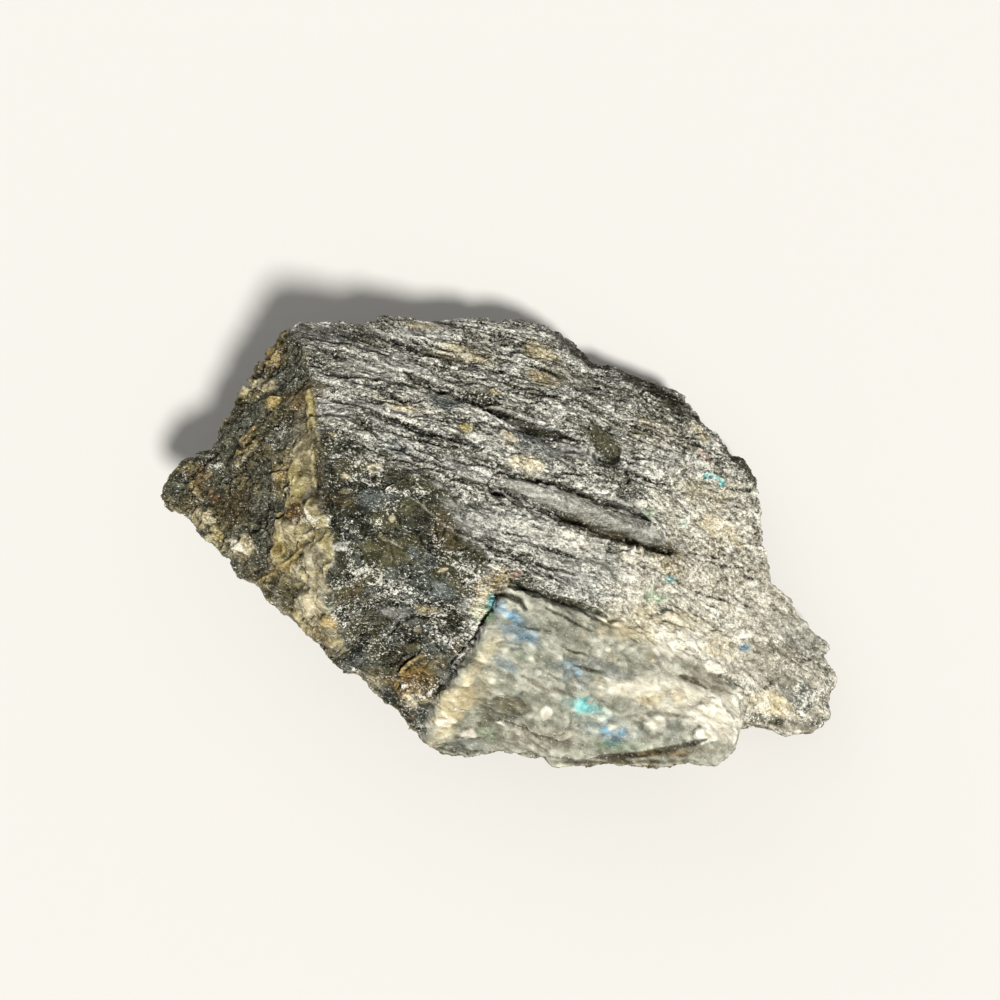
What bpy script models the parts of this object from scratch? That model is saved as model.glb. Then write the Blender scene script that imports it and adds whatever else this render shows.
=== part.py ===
"""A rough chunk of labradorite about 60 mm long: one solid, broken on every side.

Frame: +X runs along the chunk's length, +Y across it, +Z up. The origin is the middle of the
bounding box, on the flat cleavage face that the chunk rests on.

The chunk is a wedge. A crest stands over its thick west end, a short facet falls away west of the
crest, and the long top face slopes down to a thin east end. A smooth dark face lies south-east of
the crest, and a plate one step higher covers the south side. Twin lamellae run through the whole
crystal, so the top face is splintered along one direction, the grain.

The form is drawn as a rim, a few landmarks inside it and a base outline, all in millimetres. It is
remeshed evenly, broken up by the functions under "relief", and thinned to a faceted solid.
"""

import math

import bmesh
import bpy
import numpy as np
from mathutils import Vector
from mathutils.geometry import delaunay_2d_cdt

# Driving dimensions, in millimetres unless the name says otherwise
CREST = 20.5
GRAIN_DEGREES = -17.5
LAMELLA_LEAN_DEGREES = 20.0
VOXEL = 0.4
BASE_SKIN = 0.03
TRIANGLES = 9000
MM = 0.001

# The rim, where the top meets the broken sides: x, y and height, anticlockwise from the west tip
RIM = [
    # under the west facet and the foot of the crust
    (-29.9, 4.3, 11.0),
    (-29.0, 2.6, 11.0),
    (-26.4, 0.4, 11.0),
    (-23.2, -2.7, 11.0),
    (-20.3, -5.3, 11.0),
    (-18.3, -6.6, 11.0),
    (-15.2, -9.2, 11.0),
    # along the dark face
    (-13.2, -11.1, 10.0),
    (-8.9, -14.4, 9.0),
    (-6.4, -16.8, 8.0),
    (-4.6, -18.2, 7.5),
    # the plate's south edge
    (-0.4, -18.2, 8.0),
    (1.3, -18.6, 9.0),
    (5.0, -19.2, 9.0),
    (11.7, -19.3, 9.0),
    (18.0, -19.2, 9.0),
    (19.6, -18.3, 9.0),
    # the notch and the low east toe
    (20.4, -15.6, 8.2),
    (21.3, -15.9, 4.8),
    (25.6, -16.0, 4.0),
    (28.7, -15.7, 4.0),
    (29.9, -13.3, 4.0),
    (29.8, -10.7, 4.0),
    (29.2, -8.2, 4.0),
    (27.2, -5.4, 4.0),
    (24.8, -2.9, 4.0),
    (24.6, -0.6, 4.0),
    # the thin north-east edge
    (24.7, 3.9, 4.0),
    (23.2, 7.9, 4.0),
    (20.8, 11.8, 4.0),
    (17.4, 15.0, 4.5),
    (13.3, 16.7, 5.0),
    (9.5, 18.2, 5.0),
    (6.6, 20.2, 6.0),
    (4.7, 21.4, 7.0),
    # the north edge, rising to the crest
    (-1.9, 20.9, 9.0),
    (-8.2, 20.4, 11.0),
    (-13.6, 18.2, 15.0),
    (-17.2, 17.3, 17.0),
    # the west facet's upper edge
    (-18.8, 16.9, 16.0),
    (-20.8, 14.8, 14.0),
    (-23.1, 11.3, 13.0),
    (-25.1, 8.1, 12.0),
    (-28.8, 5.9, 11.0),
]

# Lines drawn on the top, as runs of x, y and height
CREST_LINE = [
    (-16.4, 14.6, 18.6),
    (-15.1, 9.1, 20.0),
    (-14.6, 4.6, CREST),
    (-14.1, 0.4, CREST),
    (-13.4, -4.2, 19.5),
    (-13.7, -7.1, 17.8),
    (-14.0, -9.4, 14.0),
]
DARK_FACE_EDGE = [
    (-14.6, 4.6, CREST),
    (-9.7, 4.3, 19.6),
    (-5.7, 1.7, 19.0),
    (-2.4, -1.4, 18.0),
    (0.1, -5.7, 16.5),
]
PLATE_FOOT = [
    (0.1, -5.7, 16.5),
    (-1.1, -8.1, 15.4),
    (-2.7, -11.2, 13.8),
    (-5.1, -13.9, 11.4),
    (-6.1, -16.6, 8.9),
]
PLATE_LIP = [
    (0.7, -5.7, 17.2),
    (-0.5, -8.2, 16.3),
    (-2.1, -11.4, 14.8),
    (-4.5, -14.1, 12.4),
    (-5.5, -16.8, 9.7),
]
TOP_MARKS = [
    # the middle of the dark face, a little hollow
    (-9.0, -6.0, 16.0),
    # the splintered face between the crest and the thin edge
    (-9.5, 12.0, 17.4),
    (-2.0, 10.0, 15.6),
    (4.0, 3.0, 14.6),
    (6.5, 11.5, 11.4),
    (12.0, 6.5, 10.6),
    (14.5, 0.0, 9.8),
    (19.0, 4.0, 6.6),
    (20.5, -4.5, 6.6),
    # the plate
    (5.0, -8.5, 15.2),
    (3.5, -15.5, 12.4),
    (11.5, -10.0, 12.0),
    (11.0, -17.0, 10.2),
    (18.0, -13.5, 9.4),
    (18.5, -17.0, 9.4),
    # the toe, one step down from the plate
    (21.6, -13.0, 6.0),
    (25.0, -9.5, 5.2),
]

# The flat cleavage face that the chunk rests on: x and y, anticlockwise
BASE = [
    (-17.0, 2.0),
    (-15.0, -5.0),
    (-10.5, -9.5),
    (-5.5, -13.5),
    (0.0, -15.5),
    (10.0, -16.2),
    (18.0, -15.6),
    (25.0, -14.4),
    (27.6, -12.0),
    (26.6, -8.0),
    (22.8, -3.0),
    (22.6, 3.0),
    (19.0, 10.0),
    (11.0, 15.2),
    (5.0, 18.4),
    (-6.0, 17.0),
    (-12.0, 15.0),
    (-16.0, 9.5),
]


# Areas of the top, seen from above, that break in their own way: x and y
DARK_FACE = [
    (-14.6, 6.0),
    (-9.7, 4.6),
    (-5.7, 1.9),
    (-2.4, -1.3),
    (0.0, -5.0),
    (-1.2, -8.1),
    (-2.8, -11.2),
    (-6.4, -16.5),
    (-13.5, -10.8),
    (-13.9, -4.2),
]
PLATE = [
    (0.4, -5.7),
    (-0.8, -8.1),
    (-2.4, -11.2),
    (-5.7, -15.4),
    (-5.0, -18.8),
    (20.4, -19.4),
    (20.4, -14.0),
    (17.0, -9.5),
    (9.5, -7.9),
]
CRUST = [
    (-17.0, 3.7),
    (-17.9, -0.5),
    (-19.0, -3.0),
    (-20.8, -4.8),
    (-15.5, -9.2),
    (-12.6, -10.4),
    (-12.9, -6.0),
    (-13.3, -2.5),
    (-15.0, 1.0),
]

# Grooves that follow the grain: width, depth, and the points they run through
GROOVES = [
    (0.9, 0.7, [(-8.0, 12.1), (-4.7, 11.6), (-1.3, 10.7), (0.3, 10.2)]),
    (0.7, 0.5, [(0.6, 9.0), (3.0, 8.5), (5.4, 8.3)]),
    (1.0, 1.1, [(-0.3, 2.8), (3.8, 1.4), (7.6, 0.5), (11.3, -0.4), (14.8, -1.0)]),
    (0.6, 0.5, [(-0.3, 4.1), (5.4, 3.6), (12.7, 1.9)]),
    (0.6, 0.5, [(-9.5, 7.9), (-6.2, 7.3), (-2.0, 6.5)]),
    (0.9, 0.8, [(1.1, -5.4), (5.1, -6.4), (9.5, -7.7)]),
    (0.6, 0.4, [(10.3, 5.7), (13.2, 5.3), (16.4, 5.0)]),
]
# Round places on the top: centre, radius and height, below 0 for a pit
SWELLS = [
    ((9.3, 7.2), 1.9, -0.9),
    ((-6.9, -12.9), 2.3, 0.5),
]


def clear_scene():
    for obj in list(bpy.data.objects):
        bpy.data.objects.remove(obj, do_unlink=True)


# --- seeded noise ---------------------------------------------------------------------------


def cell_values(cells, seed, count=1):
    """Repeatable numbers from 0 to 1 for whole-number cells: an array of (points, count)."""
    columns = []
    for channel in range(count):
        mixed = (
            cells[:, 0] * 73856093 + cells[:, 1] * 19349663 + cells[:, 2] * 83492791
            + (seed * 31 + channel) * 2654435761
        ) & 0xFFFFFFFF
        for _ in range(2):
            mixed = ((mixed ^ (mixed >> 15)) * 2246822519) & 0xFFFFFFFF
            mixed = ((mixed ^ (mixed >> 13)) * 3266489917) & 0xFFFFFFFF
        columns.append(mixed / 0xFFFFFFFF)
    return np.stack(columns, axis=1)


def smooth_noise(places, seed):
    """Value noise from -1 to 1 with features about one unit across."""
    cells = np.floor(places).astype(np.int64)
    along = places - cells
    along = along * along * (3 - 2 * along)
    total = np.zeros(len(places))
    for corner in np.ndindex(2, 2, 2):
        weight = np.prod(np.where(np.array(corner), along, 1 - along), axis=1)
        total += weight * cell_values(cells + np.array(corner), seed)[:, 0]
    return total * 2 - 1


def layered_noise(places, seed, layers=3):
    """Smooth noise with finer, weaker layers added."""
    total = np.zeros(len(places))
    for layer in range(layers):
        total += smooth_noise(places * 2**layer, seed + layer) / 2**layer
    return total / 1.6


def nearest_cells(places, seed):
    """The Voronoi cell of about one unit that each point is in: reach from its seed, and values."""
    home = np.floor(places).astype(np.int64)
    best = np.full(len(places), np.inf)
    reach = np.zeros((len(places), 3))
    values = np.zeros((len(places), 7))
    for offset in np.ndindex(3, 3, 3):
        cell = home + np.array(offset) - 1
        found = cell_values(cell, seed, 7)
        away = places - (cell + found[:, :3])
        distance = (away**2).sum(axis=1)
        nearer = distance < best
        best = np.where(nearer, distance, best)
        reach[nearer] = away[nearer]
        values[nearer] = found[nearer]
    return reach, values


def chips(places, seed, tilt, step):
    """Flat chips, one to a cell, each tilted and raised or sunk at random."""
    reach, values = nearest_cells(places, seed)
    slope = (values[:, 3:6] - 0.5) * 2 * tilt
    return (reach * slope).sum(axis=1) + (values[:, 6] - 0.5) * 2 * step


def lumps(places, seed):
    """Round grains from 0 to 1, one to a cell."""
    reach, values = nearest_cells(places, seed)
    return np.clip(1 - (reach**2).sum(axis=1) * 2, 0, 1) * (0.4 + 0.6 * values[:, 3])


# --- areas drawn on the top -----------------------------------------------------------------


def smooth_step(values):
    values = np.clip(values, 0, 1)
    return values * values * (3 - 2 * values)


def path_distance(places, path):
    """How far each point is from a run of points, seen from above."""
    nearest = np.full(len(places), np.inf)
    flat = places[:, :2]
    for start, end in zip(path[:-1], path[1:]):
        start, end = np.array(start[:2]), np.array(end[:2])
        run = end - start
        share = np.clip((flat - start) @ run / (run @ run), 0, 1)
        away = flat - start - share[:, None] * run
        nearest = np.minimum(nearest, np.linalg.norm(away, axis=1))
    return nearest


def area_share(places, outline, fade):
    """1 inside an outline seen from above and 0 outside it, fading over a width at its edge."""
    x, y = places[:, 0], places[:, 1]
    inside = np.zeros(len(places), bool)
    for (x0, y0), (x1, y1) in zip(outline, outline[1:] + outline[:1]):
        if y0 != y1:
            crosses = (y0 > y) != (y1 > y)
            inside ^= crosses & (x < (x1 - x0) * (y - y0) / (y1 - y0) + x0)
    depth = path_distance(places, outline + outline[:1]) * np.where(inside, 1, -1)
    return smooth_step(depth / fade / 2 + 0.5)


# --- relief: how far each point moves out along its normal, in millimetres --------------------


def along_grain(places):
    """Places in the crystal's own directions: along the grain, across the lamellae, and up them."""
    turn = math.radians(GRAIN_DEGREES)
    lean = math.radians(LAMELLA_LEAN_DEGREES)
    along = np.array([math.cos(turn), math.sin(turn), 0.0])
    level = np.array([-math.sin(turn), math.cos(turn), 0.0])
    across = level * math.cos(lean) + np.array([0, 0, math.sin(lean)])
    up = np.cross(along, across)
    wander = smooth_noise(places / 7.0, seed=3) * 0.7
    turned = places @ np.stack([along, across, up], axis=1)
    turned[:, 1] += wander
    return turned


def splinters(places):
    """Long thin splinters between the twin lamellae, coarse and fine."""
    turned = along_grain(places)
    coarse = chips(turned / (7.0, 1.7, 1.7), 21, tilt=0.22, step=0.3)
    fine = chips(turned / (3.5, 0.8, 0.8), 22, tilt=0.12, step=0.13)
    return coarse + fine


def fracture(places):
    """The stepped, flat-chipped break of the sides and the underside."""
    large = chips(places / 8.5, 11, tilt=1.3, step=0.5)
    return large + chips(places / 2.8, 12, tilt=0.25, step=0.12)


def mosaic(places):
    """The dark face's shallow cleavage steps."""
    return chips(places / 3.0, 31, tilt=0.22, step=0.1)


def crust(places):
    """Weathered grains standing on the plate and the crest's foot."""
    return 0.45 * lumps(places / 2.2, 41) + 0.25 * lumps(places / 1.2, 42)


def grooves(places):
    depth = np.zeros(len(places))
    for width, deepest, path in GROOVES:
        share = np.clip(1 - path_distance(places, path) / width, 0, 1)
        depth = np.maximum(depth, deepest * smooth_step(share * 1.3))
    return depth


def swells(places):
    height = np.zeros(len(places))
    for centre, radius, highest in SWELLS:
        share = 1 - np.linalg.norm(places[:, :2] - centre, axis=1) / radius
        height += highest * smooth_step(share * 1.5)
    return height


def relief(places, normals):
    top = smooth_step((normals[:, 2] - 0.25) / 0.4)
    side = 1 - top
    rim = 1 - smooth_step(path_distance(places, RIM + RIM[:1]) / 3.0)
    dark = area_share(places, DARK_FACE, 1.0) * top
    plate = area_share(places, PLATE, 1.0) * top
    grains = np.maximum(plate * 0.8, area_share(places, CRUST, 1.0) * top)
    west = smooth_step((-14.0 - places[:, 0]) / 3.0) * top
    grain = (1 - dark) * (1 - 0.6 * plate) * (1 - 0.7 * west) * (1 + 0.3 * side)
    out = fracture(places) * (side + 0.25 * top) * (1 - 0.6 * rim)
    out += fracture(places + 50.0) * west * 0.3
    out += splinters(places) * grain
    out += mosaic(places) * dark
    out += crust(places) * grains
    out += layered_noise(places / 9.0, 51) * (0.2 + 0.4 * side)
    out += (swells(places) - grooves(places)) * top
    foot = smooth_step(places[:, 2] / 1.6)
    return out * foot


# --- the solid ------------------------------------------------------------------------------


def drawn_top():
    """The top as flat facets between the drawn points: corners, and triangles of their indices."""
    points = list(RIM)
    edges = []
    for line in (CREST_LINE, DARK_FACE_EDGE, PLATE_FOOT, PLATE_LIP):
        first = len(points)
        points += line
        edges += [(i, i + 1) for i in range(first, len(points) - 1)]
    points += TOP_MARKS
    flat = [Vector(point[:2]) for point in points]
    rim = [list(range(len(RIM)))]
    inside = 1
    corners, _, faces, sources, _, _ = delaunay_2d_cdt(flat, edges, rim, inside, 1e-4)
    heights = [points[source[0]][2] for source in sources]
    return [(c.x, c.y, z) for c, z in zip(corners, heights)], faces


def drawn_chunk():
    """The drawn top, closed by sides that run down to the base outline."""
    corners, faces = drawn_top()
    shape = bmesh.new()
    top = [shape.verts.new(corner) for corner in corners]
    for face in faces:
        shape.faces.new([top[i] for i in face])
    base = [shape.verts.new((x, y, 0.0)) for x, y in BASE]
    rim_edges = [edge for edge in shape.edges if edge.is_boundary]
    base_edges = [shape.edges.new((a, b)) for a, b in zip(base, base[1:] + base[:1])]
    bmesh.ops.bridge_loops(shape, edges=rim_edges + base_edges)
    shape.faces.new(base)
    bmesh.ops.triangulate(shape, faces=shape.faces[:])
    bmesh.ops.recalc_face_normals(shape, faces=shape.faces[:])
    return mesh_object(shape, "labradorite")


def mesh_object(shape, name):
    mesh = bpy.data.meshes.new(name)
    shape.to_mesh(mesh)
    shape.free()
    obj = bpy.data.objects.new(name, mesh)
    bpy.context.scene.collection.objects.link(obj)
    return obj


def apply_modifiers(obj):
    bpy.context.view_layer.update()
    graph = bpy.context.evaluated_depsgraph_get()
    done = bpy.data.meshes.new_from_object(obj.evaluated_get(graph))
    obj.modifiers.clear()
    obj.data = done


def remesh(obj):
    """Even quads over the whole chunk, small enough to hold the relief."""
    modifier = obj.modifiers.new("even", "REMESH")
    modifier.mode = "VOXEL"
    modifier.voxel_size = VOXEL
    apply_modifiers(obj)


def roughen(obj):
    """Moves every point by the relief, and keeps the base flat."""
    mesh = obj.data
    places = np.empty(len(mesh.vertices) * 3)
    normals = np.empty(len(mesh.vertices) * 3)
    mesh.vertices.foreach_get("co", places)
    mesh.vertices.foreach_get("normal", normals)
    places, normals = places.reshape(-1, 3), normals.reshape(-1, 3)
    moved = places + normals * relief(places, normals)[:, None]
    moved[:, 2] = np.maximum(moved[:, 2], 0.0)
    moved[places[:, 2] < VOXEL, 2] = 0.0
    mesh.vertices.foreach_set("co", moved.ravel())
    mesh.update()


def thin(obj):
    """Fewer, larger triangles where the surface is flat."""
    modifier = obj.modifiers.new("facets", "DECIMATE")
    modifier.use_collapse_triangulate = True
    obj.data.calc_loop_triangles()
    modifier.ratio = TRIANGLES / len(obj.data.loop_triangles)
    apply_modifiers(obj)


def centre(obj):
    """Puts the origin at the middle of the box, on the base, and turns millimetres into metres.

    Points within BASE_SKIN of the base are brought down onto it, so that it is truly flat.
    """
    mesh = obj.data
    places = np.empty(len(mesh.vertices) * 3)
    mesh.vertices.foreach_get("co", places)
    places = places.reshape(-1, 3)
    middle = (places.min(axis=0) + places.max(axis=0)) / 2
    middle[2] = 0.0
    places = places - middle
    places[places[:, 2] < BASE_SKIN, 2] = 0.0
    mesh.vertices.foreach_set("co", (places * MM).ravel())
    mesh.update()


def labradorite():
    """Dark grey-green feldspar with a pearly lustre."""
    material = bpy.data.materials.new("labradorite")
    material.use_nodes = True
    shader = material.node_tree.nodes["Principled BSDF"]
    shader.inputs["Base Color"].default_value = (0.17, 0.17, 0.14, 1.0)
    shader.inputs["Roughness"].default_value = 0.45
    return material


def main():
    clear_scene()
    chunk = drawn_chunk()
    remesh(chunk)
    roughen(chunk)
    thin(chunk)
    centre(chunk)
    chunk.data.materials.append(labradorite())


main()
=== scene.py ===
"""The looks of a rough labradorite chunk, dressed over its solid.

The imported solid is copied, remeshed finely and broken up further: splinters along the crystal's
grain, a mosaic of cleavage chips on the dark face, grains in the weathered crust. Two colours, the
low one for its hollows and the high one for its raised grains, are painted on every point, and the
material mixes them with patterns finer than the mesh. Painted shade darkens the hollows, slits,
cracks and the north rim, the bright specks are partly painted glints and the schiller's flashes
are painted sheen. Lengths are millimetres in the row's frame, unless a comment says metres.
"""

import math

import bmesh
import bpy
import numpy as np
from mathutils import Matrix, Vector


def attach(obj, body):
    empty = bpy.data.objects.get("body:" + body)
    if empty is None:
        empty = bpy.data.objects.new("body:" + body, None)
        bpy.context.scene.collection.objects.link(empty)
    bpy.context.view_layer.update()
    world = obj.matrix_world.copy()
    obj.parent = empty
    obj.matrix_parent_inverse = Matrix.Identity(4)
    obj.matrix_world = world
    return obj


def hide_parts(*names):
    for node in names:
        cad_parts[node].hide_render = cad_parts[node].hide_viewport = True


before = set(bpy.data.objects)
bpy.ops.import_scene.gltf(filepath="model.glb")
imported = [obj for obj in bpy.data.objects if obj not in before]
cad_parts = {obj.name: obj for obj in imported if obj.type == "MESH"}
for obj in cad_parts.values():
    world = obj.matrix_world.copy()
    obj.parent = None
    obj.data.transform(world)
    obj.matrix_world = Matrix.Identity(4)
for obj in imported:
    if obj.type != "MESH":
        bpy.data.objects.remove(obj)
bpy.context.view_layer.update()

MM = 0.001

# The fine mesh. Points nearer than WELD, in metres, are one point.
WELD = 0.000001
VOXEL = 0.11
SMOOTHINGS = 9
SMOOTHING_SHARE = 0.6
PIECES = 3
TRIANGLES = PIECES * 190000
# The depth, against its neighbours, of a point that counts as wholly hollow, and the rounds that
# even out the slopes that the colours go by
HOLLOW_DEPTH = 0.03
BROADENINGS = 3
# Points lower than this are on the flat base, and the relief fades out over the height above it
BASE_HEIGHT = 0.6 * VOXEL
BASE_FADE = 1.2
SLIT_DEPTH = 0.28

# The crystal's grain: its heading at the middle, how it fans out along Y, and the lamellae's lean
GRAIN_DEGREES = -17.0
GRAIN_FAN_DEGREES = 0.35
LAMELLA_LEAN_DEGREES = 20.0


def read_rows(table):
    """A table's rows, each with a colour's name and numbers; a row that starts with # is a heading."""
    rows = [row.split() for row in table.strip().splitlines()]
    return [(name, *map(float, numbers)) for name, *numbers in rows if name != "#"]


# Colours in 8-bit sRGB: name, the low colour and then the high one. The near-black one listed after
# umber is painted shade, for the floors of grooves, slits and cracks, sunk pits and the north rim
PALETTE = {
    name: numbers
    for name, *numbers in read_rows(
        """
splinter 20 19 8 248 246 232
silver 104 105 100 232 232 224
charcoal 20 21 12 104 104 84
lamella 88 88 80 204 204 194
shale 34 36 29 112 114 98
slate 42 48 46 130 138 136
olive 44 43 26 94 91 66
umber 38 33 18 98 86 56
soot 20 20 10 58 56 40
brown 54 40 18 150 128 88
rust 90 60 26 184 142 90
ochre 98 82 42 206 182 124
yellow 124 112 58 232 218 158
amber 50 34 6 146 112 52
cream 150 138 104 246 236 204
white 204 198 178 255 253 242
tan 92 82 54 216 203 164
taupe 92 88 74 186 180 160
dark 8 9 4 78 79 62
west 20 19 10 124 114 76
crust 94 84 48 232 220 174
plate 112 113 99 208 208 191
east 110 106 88 252 246 226
pink 150 112 100 236 200 186
blue 62 104 130 142 192 222
teal 72 146 150 146 226 222
green 104 144 104 196 236 190
"""
    )
}
# the colour of the bright specks: partly crushed crystal, partly painted glints
GLINT_FROST = (224, 223, 212)

# Areas of the top, seen from above: x and y
CREST = [
    (-18.3, 15.7), (-16.9, 13.5), (-16.0, 10.9), (-15.4, 8.2), (-14.9, 3.6), (-14.5, -0.6),
    (-13.6, -4.1), (-13.8, -5.6), (-15.2, -7.8), (-14.1, -10.1), (-13.3, -12.5),
]
WEST = CREST + [(-20.0, -12.0), (-34.0, 2.0), (-34.0, 16.0), (-20.0, 20.0)]
CRUST = [
    (-16.9, 9.3), (-15.8, 9.1), (-15.1, 5.4), (-14.7, 0.9), (-13.6, -4.0), (-13.6, -5.4), (-15.0, -7.5),
    (-14.0, -9.2), (-13.2, -11.4), (-15.6, -11.5), (-19.0, -9.5), (-20.8, -6.2), (-19.2, -4.1),
    (-19.0, -1.8), (-17.9, -0.2), (-17.2, 2.5), (-16.6, 5.8),
]
DARK_FACE = [
    (-15.1, 5.4), (-12.7, 4.8), (-7.5, 1.9), (-4.5, 0.8), (-3.4, -1.2), (-2.3, -3.7), (-1.3, -4.9),
    (-2.0, -6.6), (-3.3, -7.8), (-2.9, -11.6), (-5.2, -14.1), (-6.6, -18.0), (-10.5, -16.0),
    (-13.4, -13.0), (-14.3, -10.6), (-15.0, -8.1), (-13.5, -5.2), (-14.3, -2.2), (-14.6, 1.1),
]
PLATE = [
    (0.3, -6.7), (3.0, -6.9), (6.0, -7.6), (9.0, -8.2), (12.4, -10.2), (15.9, -11.4), (20.0, -13.8),
    (20.4, -16.6), (20.0, -22.0), (-2.8, -21.0), (-7.0, -19.0), (-6.1, -16.2), (-3.8, -13.3),
    (-2.0, -10.6), (-1.0, -8.9),
]
EAST = [
    (14.5, 6.5), (22.0, 9.0), (27.0, 8.0), (27.0, -2.0), (32.0, -9.0), (31.0, -18.0), (20.0, -18.0),
    (20.0, -13.8), (9.0, -8.2), (9.5, -4.0), (14.0, -1.0), (13.0, 3.0),
]

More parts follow.
